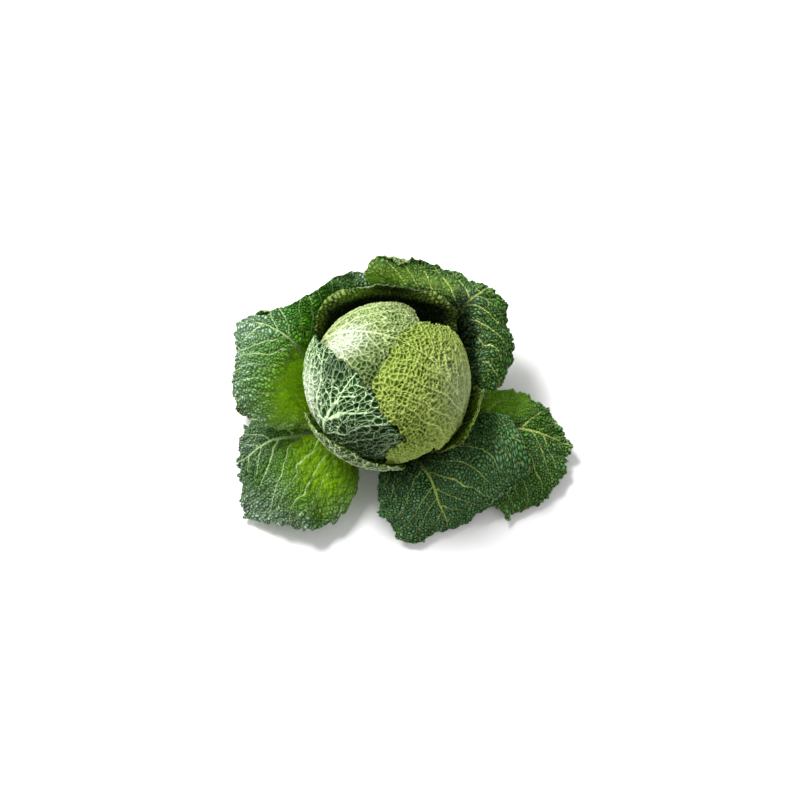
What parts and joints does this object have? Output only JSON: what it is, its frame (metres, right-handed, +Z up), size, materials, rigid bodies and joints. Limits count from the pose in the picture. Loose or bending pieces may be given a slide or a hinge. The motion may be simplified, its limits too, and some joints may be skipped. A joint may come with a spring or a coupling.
{
  "type": "savoy cabbage",
  "caption": "Round savoy cabbage: a firm head of crinkled, net-veined leaves in a loose rosette of waved outer leaves, standing on its cut stump.",
  "frame": {"origin": "middle of the flat cut under the stump, on the table", "axes": "+Z up through the head, front towards -Y, the longest outer leaf out to +X"},
  "size_m": [0.3454, 0.2744, 0.1655],
  "materials": {
    "stump": "pale cut stalk",
    "heart": "pale yellow-green leaf",
    "head_back": "pale green leaf with a whitish net of veins",
    "head_left": "green leaf with a white net of veins and a waxy bloom",
    "head_front": "yellow-green leaf with pale veins",
    "head_right": "yellow-green leaf with pale veins",
    "wrapper_front": "green leaf with a white net of veins",
    "wrapper_right": "pale yellow-green leaf",
    "wrapper_back": "bright green leaf",
    "outer_back_left": "bright to blue-green leaf with a waxy bloom",
    "outer_left": "dark green leaf",
    "outer_front_left": "green leaf, dark towards its edge",
    "outer_front_right": "dark blue-green leaf with a waxy bloom",
    "outer_right": "dark green leaf with pale veins",
    "outer_back_right": "dark green leaf with pale veins"
  },
  "bodies": {
    "root": {"stump": "stump", "heart": "heart", "head_back": "head_back", "head_left": "head_left", "head_front": "head_front", "head_right": "head_right", "wrapper_front": "wrapper_front", "wrapper_right": "wrapper_right", "wrapper_back": "wrapper_back", "outer_back_left": "outer_back_left", "outer_left": "outer_left", "outer_front_left": "outer_front_left", "outer_front_right": "outer_front_right", "outer_right": "outer_right", "outer_back_right": "outer_back_right"}
  },
  "joints": []
}
